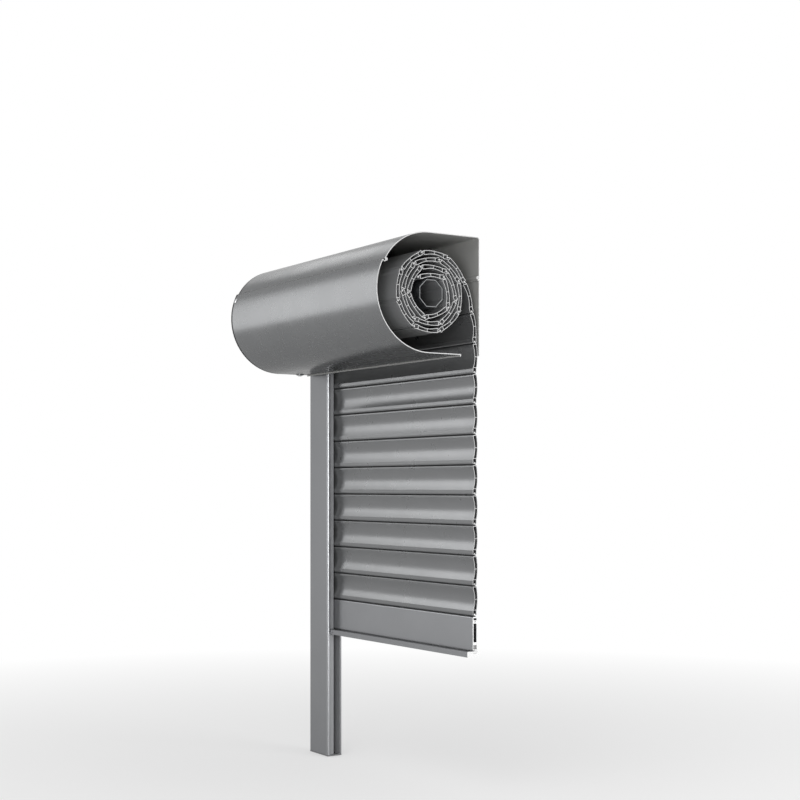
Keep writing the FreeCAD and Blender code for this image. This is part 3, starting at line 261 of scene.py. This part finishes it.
plastics = {
    "blackPolyamide": {"light": "#222223", "dark": "#171718", "worn": "#6c6c6c", "roughness": 0.46},
    "darkGreySlidePolyamide": {"light": "#77787a", "dark": "#6a6b6d", "worn": "#7c7c7c", "roughness": 0.36},
    "greyPolyamide": {"light": "#6e6f70", "dark": "#606162", "worn": "#8c8c8c", "roughness": 0.48},
}
moulding = {
    "edge": 0.3,
    "rubbing": 0.4,
    "streak": 2.5,
    "stretch": 0.2,        # scale along the piece, so that a streak is five times as long as it is wide
    "grain": 0.45,
    "grainHeight": 0.02,
    "glossPatch": 6,
    "glossier": 0.05,
    "duller": 0.08,
}


def mouldedPlastic(name):
    # Glass-filled polyamide, injection moulded: a spark-eroded grain that breaks up the shine, faint flow
    # streaks along the piece, and rubbed, paler edges.
    finish = plastics[name]
    material, tree, place = newMaterial(name)
    rounded, rubbed = wornEdge(tree, place, moulding["edge"], moulding["rubbing"])
    stretched = addNode(tree, "Mapping", {"Vector": place, "Scale": (moulding["stretch"], 1.0, 1.0)})
    streaks = addNode(tree, "TexNoise", {"Vector": stretched, "Scale": patch(moulding["streak"]),
                                         "Detail": 3.0})
    shade = addNode(tree, "Mix", {0: streaks, 6: colour(finish["light"]), 7: colour(finish["dark"])}, 2,
                    data_type="RGBA")
    shade = addNode(tree, "Mix", {0: rubbed, 6: shade, 7: colour(finish["worn"])}, 2, data_type="RGBA")
    grain = addNode(tree, "TexNoise", {"Vector": place, "Scale": patch(moulding["grain"]), "Detail": 3.0})
    surface = addNode(tree, "Bump", {"Height": grain, "Distance": moulding["grainHeight"] * mm,
                                     "Normal": rounded})
    sheen = addNode(tree, "TexNoise", {"Vector": place, "Scale": patch(moulding["glossPatch"])})
    gloss = addNode(tree, "MapRange", {"Value": sheen, "To Min": finish["roughness"] - moulding["glossier"],
                                       "To Max": finish["roughness"] + moulding["duller"]})
    body = addNode(tree, "BsdfPrincipled", {"Base Color": shade, "Roughness": gloss, "Normal": surface})
    addNode(tree, "OutputMaterial", {"Surface": body})
    return material


galvanised = {
    "light": "#9a9da0",
    "dark": "#7c7f82",
    "dull": "#6b6c6e",
    "mostDull": 0.45,
    "reverse": "#58595a",
    "sawn": "#6c6d6e",
    "edge": 0.4,
    "crystal": 7,
    "borderDepth": 0.02,
    "cloud": 40,
    "smooth": 0.3,
    "rough": 0.5,
}


def galvanisedSteel():
    # Hot-dip galvanised strip: zinc crystals a few millimetres wide that differ in tone and gloss, with dull,
    # weathered clouds over them and plain grey zinc inside the shaft.
    material, tree, place = newMaterial("galvanisedSteel")
    rounded = addNode(tree, "Bevel", {"Radius": galvanised["edge"] * mm}, samples=4)
    crystals = addNode(tree, "TexVoronoi", {"Vector": place, "Scale": patch(galvanised["crystal"])}, "Color")
    shade = addNode(tree, "Mix", {0: crystals, 6: colour(galvanised["dark"]), 7: colour(galvanised["light"])},
                    2, data_type="RGBA")
    weather = addNode(tree, "TexNoise", {"Vector": place, "Scale": patch(galvanised["cloud"]), "Detail": 4.0})
    dull = addNode(tree, "MapRange", {"Value": weather, "From Min": 0.5, "From Max": 0.8,
                                      "To Max": galvanised["mostDull"]})
    shade = addNode(tree, "Mix", {0: dull, 6: shade, 7: colour(galvanised["dull"])}, 2, data_type="RGBA")
    borders = addNode(tree, "TexVoronoi", {"Vector": place, "Scale": patch(galvanised["crystal"])},
                      "Distance")
    surface = addNode(tree, "Bump", {"Height": borders, "Distance": galvanised["borderDepth"] * mm,
                                     "Normal": rounded})
    gloss = addNode(tree, "MapRange", {"Value": crystals, "To Min": galvanised["smooth"],
                                       "To Max": galvanised["rough"]})
    coated = addNode(tree, "BsdfPrincipled", {"Base Color": shade, "Metallic": 1.0, "Roughness": gloss,
                                              "Normal": surface})
    coated = mattInside(tree, place, coated, rollerCentre, galvanised["reverse"])
    ended = sawnEnd(tree, place, coated, galvanised["sawn"])
    addNode(tree, "OutputMaterial", {"Surface": ended})
    return material


metals = {
    "groundBearingSteel": {"light": "#c4c5c7", "dark": "#b2b3b5", "roughness": 0.14, "line": 0.25},
    "bluedSpringSteel": {"light": "#55585d", "dark": "#3f4247", "roughness": 0.3, "line": 0.8},
    "stainlessSteel": {"light": "#bfc0c1", "dark": "#a9aaab", "roughness": 0.24, "line": 0.4},
    "rivetAluminium": {"light": "#b4b5b6", "dark": "#9c9d9e", "roughness": 0.34, "line": 0.5},
}
drawing = {
    "edge": 0.2,
    "squeeze": 6.0,        # scale along x, which packs the tool lines closer there
    "lineDepth": 0.004,
    "stain": 5,
    "glossier": 0.04,
    "duller": 0.08,
}


def drawnMetal(name):
    # Turned, rolled or headed metal: fine tool lines that spread each highlight, and a slight stain.
    finish = metals[name]
    material, tree, place = newMaterial(name)
    rounded = addNode(tree, "Bevel", {"Radius": drawing["edge"] * mm}, samples=4)
    stretched = addNode(tree, "Mapping", {"Vector": place, "Scale": (drawing["squeeze"], 1.0, 1.0)})
    lines = addNode(tree, "TexNoise", {"Vector": stretched, "Scale": patch(finish["line"]), "Detail": 3.0})
    stain = addNode(tree, "TexNoise", {"Vector": place, "Scale": patch(drawing["stain"]), "Detail": 4.0})
    shade = addNode(tree, "Mix", {0: stain, 6: colour(finish["light"]), 7: colour(finish["dark"])}, 2,
                    data_type="RGBA")
    surface = addNode(tree, "Bump", {"Height": lines, "Distance": drawing["lineDepth"] * mm,
                                     "Normal": rounded})
    gloss = addNode(tree, "MapRange", {"Value": lines, "To Min": finish["roughness"] - drawing["glossier"],
                                       "To Max": finish["roughness"] + drawing["duller"]})
    body = addNode(tree, "BsdfPrincipled", {"Base Color": shade, "Metallic": 1.0, "Roughness": gloss,
                                            "Normal": surface})
    addNode(tree, "OutputMaterial", {"Surface": body})
    return material


slatPaint = powderCoat("slatPowderCoat")
coilPaintLightenedForShade = powderCoat("coilPowderCoatLightenedForShade")
boxPaint = powderCoat("boxPowderCoat")
railPaint = powderCoat("railPowderCoat")
capPaint = powderCoat("capPowderCoat")
blackPlastic = mouldedPlastic("blackPolyamide")
slidePlastic = mouldedPlastic("darkGreySlidePolyamide")
greyPlastic = mouldedPlastic("greyPolyamide")
zincCoat = galvanisedSteel()
bearingSteel = drawnMetal("groundBearingSteel")
springSteel = drawnMetal("bluedSpringSteel")
stainless = drawnMetal("stainlessSteel")
rivetMetal = drawnMetal("rivetAluminium")


def dress(material, *names):
    for name in names:
        slots = nodes[name].data.materials
        slots.clear()
        slots.append(material)


slatNames = [name for name in nodes if name.startswith("slat_") and name[5:].isdigit()]
firstCoiled = "slat_12"                      # from here on the slats are in the box's shade
boxPanels = ["top_panel", "front_cover", "rear_panel"]
slideInserts = ["rail_insert_front", "rail_insert_rear"]
dress(slatPaint, *[name for name in slatNames if name < firstCoiled])
# The coiled slats wear the lighter, matt copy of the slat paint: painted fill light in the box's shade.
dress(coilPaintLightenedForShade, *[name for name in slatNames if name >= firstCoiled])
dress(boxPaint, *boxPanels)
dress(railPaint, "guide_rail", "bottom_bar", "stop_strip")
dress(capPaint, "end_cap")
dress(blackPlastic, "slat_end_clips", "bottom_bar_plug")
dress(slidePlastic, *slideInserts)
dress(greyPlastic, "inlet_funnel", "rail_end_plug", "roller_plug")
dress(zincCoat, "octagonal_shaft")
dress(bearingSteel, "bearing_outer_ring", "bearing_inner_ring", "bearing_balls")
dress(springSteel, "hanger_straps", "bearing_cage", "roller_pin")
dress(stainless, "cover_screw_front", "cover_screw_underside")
dress(rivetMetal, "top_panel_rivets", "rear_panel_rivets", "hanger_rivets")
print("materials on every node")


# screws, in place of the plain ones

def smoothStep(low, high, value):
    t = np.clip((value - low) / (high - low), 0, 1)
    return t * t * (3 - 2 * t)


def turnedFaces(rows, columns):
    # quads between the rings, closed round, and a fan of triangles to a middle point at each end
    i, j = np.meshgrid(np.arange(rows - 1), np.arange(columns), indexing="ij")
    a = i * columns + j
    b = i * columns + (j + 1) % columns
    quads = np.stack([a, a + columns, b + columns, b], axis=-1).reshape(-1, 4)
    ring = np.arange(columns)
    after = (ring + 1) % columns
    last = (rows - 1) * columns
    middle = np.full(columns, rows * columns)
    near = np.stack([middle, ring, after], axis=-1)
    far = np.stack([middle + 1, last + after, last + ring], axis=-1)
    return quads.tolist() + near.tolist() + far.tolist()


def placed(local, base, axis):
    # local z goes along axis from base
    z = np.array(axis, float) / np.linalg.norm(axis)
    x = np.cross(z, [1.0, 0.0, 0.0])
    x /= np.linalg.norm(x)
    return np.array(base) + local @ np.stack([x, np.cross(z, x), z])


def addPiece(name, points, faces, material, body, slot, *replaced):
    mesh = bpy.data.meshes.new(name)
    mesh.from_pydata(points.tolist(), [], faces)
    mesh.materials.append(material)
    mesh.polygons.foreach_set("use_smooth", np.ones(len(mesh.polygons), bool))
    mesh.validate()
    thing = bpy.data.objects.new(name, mesh)
    bpy.context.scene.collection.objects.link(thing)
    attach(thing, body)
    if replaced:
        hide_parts(*replaced)
    return thing


screwForm = {
    "columns": 96,
    "domeRows": 40,
    "rimRows": 4,
    "washerRows": 5,
    "dome": 0.82,          # share of the rise that is dome; the rest is rim
    "rimTop": 0.15,        # heights of the rim's first and last ring over the washer, in rises
    "rimFoot": 0.06,
    "bar": (0.10, 0.17),   # half width of a recess bar at its floor and its brim, in head radii
    "reach": (0.5, 0.62),  # and its half length
    "pole": 0.02,          # the smallest ring, in radii
    "underside": 0.4,      # the last ring but one under the washer
}


def headSurface(shape):
    # Radius runs from the middle over the dome, round the rim and under the washer; angle goes round.
    # The height is a cap of a sphere, less a cross recess: two crossed bars with sloping sides.
    form = screwForm
    angle = np.linspace(0, 2 * np.pi, form["columns"], endpoint=False)
    head, washer, plate, rise = shape["head"], shape["washer"], shape["plate"], shape["rise"]
    domeRows, rimRows, washerRows = form["domeRows"], form["rimRows"], form["washerRows"]
    overDome = np.linspace(form["pole"], 1, domeRows) * head
    under = [form["underside"] * washer, form["pole"] * washer]
    radius = np.concatenate([overDome, np.full(rimRows, head), np.linspace(head, washer, washerRows),
                             np.full(washerRows, washer), under])
    sphere = (head ** 2 + rise ** 2) / (2 * rise)
    dome = np.sqrt(sphere ** 2 - overDome ** 2) - sphere + rise
    rim = np.linspace(form["rimTop"], form["rimFoot"], rimRows) * rise + plate
    height = np.concatenate([dome * form["dome"] + rise * (1 - form["dome"]), rim,
                             np.full(washerRows, plate), np.linspace(plate, 0, washerRows), [0.0, 0.0]])
    r, a = np.meshgrid(radius, angle, indexing="ij")
    z = np.repeat(height[:, None], len(angle), axis=1)
    x, y = r * np.cos(a), r * np.sin(a)
    bar = np.minimum(np.abs(x), np.abs(y)) / head
    spread = np.maximum(np.abs(x), np.abs(y)) / head
    recess = (1 - smoothStep(*form["bar"], bar)) * (1 - smoothStep(*form["reach"], spread))
    z[:domeRows] -= shape["recess"] * recess[:domeRows]
    rings = np.stack([x, y, z], axis=-1).reshape(-1, 3)
    middles = [[0, 0, rise - shape["recess"]], [0, 0, 0]]
    return np.concatenate([rings, middles]), turnedFaces(len(radius), len(angle))


coverScrew = {
    "head": 4.1 * mm,      # radius
    "washer": 4.6 * mm,    # radius
    "plate": 0.5 * mm,
    "rise": 1.9 * mm,
    "recess": 1.1 * mm,
    "way": 160.6,          # degrees round the cover's arc, from straight back over the top
}
undersideScrew = {
    "head": 6.2 * mm,
    "washer": 7.2 * mm,
    "plate": 1.0 * mm,
    "rise": 3.4 * mm,
    "recess": 1.5 * mm,
    "length": 4.2 * mm,    # from the seat to the lowest point
}

low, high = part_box("cover_screw_front")
points, faces = headSurface(coverScrew)
turn = math.radians(coverScrew["way"])
screwWay = np.array([0, math.cos(turn), math.sin(turn)])
frontBase = np.array([(low.x + high.x) / 2, boxCentre.y, boxCentre.z]) + arcRadius * screwWay
frontScrew = addPiece("coverScrewFront", placed(points, frontBase, screwWay), faces, stainless, "cover",
                      "screw_steel", "cover_screw_front")
low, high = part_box("cover_screw_underside")
points, faces = headSurface(undersideScrew)
lowerBase = ((low.x + high.x) / 2, (low.y + high.y) / 2, low.z + undersideScrew["length"])
lowerScrew = addPiece("coverScrewUnderside", placed(points, lowerBase, (0, 0, -1)), faces, stainless, "cover",
                      "screw_steel", "cover_screw_underside")
print("screws placed")


# surroundings

def surface(name, corners, material):
    mesh = bpy.data.meshes.new(name)
    mesh.from_pydata(corners, [], [tuple(range(len(corners)))])
    mesh.materials.append(material)
    thing = bpy.data.objects.new(name, mesh)
    bpy.context.scene.collection.objects.link(thing)
    return thing


studio = {
    "floorColour": "#f0f0f0",
    "floorGlow": 0.4,         # share of plain white that the camera and the metal see on the floor
    "fadeStart": 0.7,         # m from the object, where the floor starts to run into the white backdrop
    "fadeEnd": 2.0,
    "skyOnSurfaces": 0.5,     # strength of the white world as light
    "reach": 30.0,            # m, half the floor's width
    "gap": 0.001,             # m between the floor and the object
}
white = (1, 1, 1, 1)


def seenRays(tree):
    # 1 for rays that come from the camera, a reflection or a transmission
    seen = addNode(tree, "Math", {0: addNode(tree, "LightPath", output="Is Camera Ray"),
                                  1: addNode(tree, "LightPath", output="Is Glossy Ray")}, operation="MAXIMUM")
    return addNode(tree, "Math", {0: seen, 1: addNode(tree, "LightPath", output="Is Transmission Ray")},
                   operation="MAXIMUM")


def paleFloor():
    # Matt painted board that runs into the white backdrop with distance and keeps the shadow near the object.
    material, tree, place = newMaterial("paleFloor")
    distance = addNode(tree, "VectorMath", {0: place}, "Value", operation="LENGTH")
    away = addNode(tree, "MapRange", {"Value": distance, "From Min": studio["fadeStart"],
                                      "From Max": studio["fadeEnd"], "To Min": studio["floorGlow"]})
    matt = addNode(tree, "BsdfDiffuse", {"Color": colour(studio["floorColour"])})
    glow = addNode(tree, "Emission", {"Color": white, "Strength": 1.0})
    share = addNode(tree, "Math", {0: away, 1: seenRays(tree)}, operation="MULTIPLY")
    mixed = addNode(tree, "MixShader", {0: share, 1: matt, 2: glow})
    addNode(tree, "OutputMaterial", {"Surface": mixed})
    return material


floorLevel = cadBox[0].z - studio["gap"]
reach = studio["reach"]
surface("floor", [(-reach, -reach, floorLevel), (reach, -reach, floorLevel), (reach, reach, floorLevel),
                  (-reach, reach, floorLevel)], paleFloor())

world = bpy.data.worlds.new("studio")
bpy.context.scene.world = world
world.use_nodes = True
air = world.node_tree
air.nodes.clear()
strength = addNode(air, "MapRange", {"Value": seenRays(air), "To Min": studio["skyOnSurfaces"]})
sky = addNode(air, "Background", {"Color": white, "Strength": strength})
addNode(air, "OutputWorld", {"Surface": sky})


# Lamps: middle and aim in m, width and height in m, radiance in the scale in which the backdrop is 1, and the
# pieces that the lamp is kept to, as a studio flag would keep it off the others. Without them it lights all.
lamps = {
    "boxBank": {"place": (-1.45, -0.95, 0.315), "aim": (-1.45, 0, 0.315), "size": (1.7, 1.05),
                "radiance": 2.7, "lights": boxPanels, "also": [frontScrew, lowerScrew]},
    "slatBank": {"place": (-3.87, -2.71, 1.835), "aim": (-3.87, 0, 1.835), "size": (2.54, 3.49),
                 "radiance": 3.7, "lights": slatNames + ["bottom_bar", "slat_end_clips"]},
    "endBank": {"place": (1.76, 0.91, -0.05), "aim": (0.24, -0.05, -0.2), "size": (1.2, 1.3),
                "radiance": 3.0},
    "overheadBank": {"place": (-1.44, 0.42, 0.86), "aim": (0, -0.09, 0.0), "size": (1.0, 1.0),
                     "radiance": 0.15},
    "shoulderBank": {"place": (-1.4, 0.1, 1.02), "aim": (0, -0.14, 0.06), "size": (0.5, 0.5),
                     "radiance": 2.4, "lights": ["top_panel", "front_cover"]},
    "cameraBank": {"place": (1.7, -1.38, -0.6), "aim": (0, -0.06, 0), "size": (1.2, 1.9),
                   "radiance": 7.0},
    "edgeBank": {"place": (-1.2, -2.85, -0.3), "aim": (-0.2, -0.03, -0.3), "size": (1.6, 2.0),
                 "radiance": 3.2, "lights": ["guide_rail", "stop_strip", "bottom_bar"] + slideInserts},
    "grooveBank": {"place": (1.75, -1.1, -0.3), "aim": (-0.22, -0.02, -0.3), "size": (1.0, 1.8),
                   "radiance": 6.0, "lights": ["guide_rail"] + slideInserts},
    "topFill": {"place": (0.9, -1.6, 1.9), "aim": (0, -0.05, -0.2), "size": (1.4, 1.4), "radiance": 1.2},
}


def aimed(thing, place, direction):
    thing.location = place
    thing.rotation_euler = Vector(direction).to_track_quat("-Z", "Y").to_euler()
    bpy.context.scene.collection.objects.link(thing)


for name, bank in lamps.items():
    lamp = bpy.data.lights.new(name, "AREA")
    lamp.shape = "RECTANGLE"
    lamp.size, lamp.size_y = bank["size"]
    lamp.energy = bank["radiance"] * math.pi * lamp.size * lamp.size_y
    holder = bpy.data.objects.new(name, lamp)
    holder.visible_camera = False
    aimed(holder, bank["place"], Vector(bank["aim"]) - Vector(bank["place"]))
    if "lights" in bank:
        group = bpy.data.collections.new(name)
        for thing in [nodes[node] for node in bank["lights"]] + bank.get("also", []):
            group.objects.link(thing)
        holder.light_linking.receiver_collection = group

view = {
    "place": (2.0467, -1.2808, -0.2824),     # m
    "direction": (-0.8459, 0.5333, 0),
    "sensor": 36,                            # mm
    "lens": 66.69,                           # mm
    "rise": 0.1079,                          # shift of the picture, in picture widths
}
camera = bpy.data.cameras.new("camera")
camera.sensor_width = view["sensor"]
camera.lens = view["lens"]
camera.shift_y = view["rise"]
camera.clip_end = 100
eye = bpy.data.objects.new("camera", camera)
aimed(eye, view["place"], view["direction"])
bpy.context.scene.camera = eye

bpy.context.scene.view_settings.view_transform = "Standard"
print("scene lit")
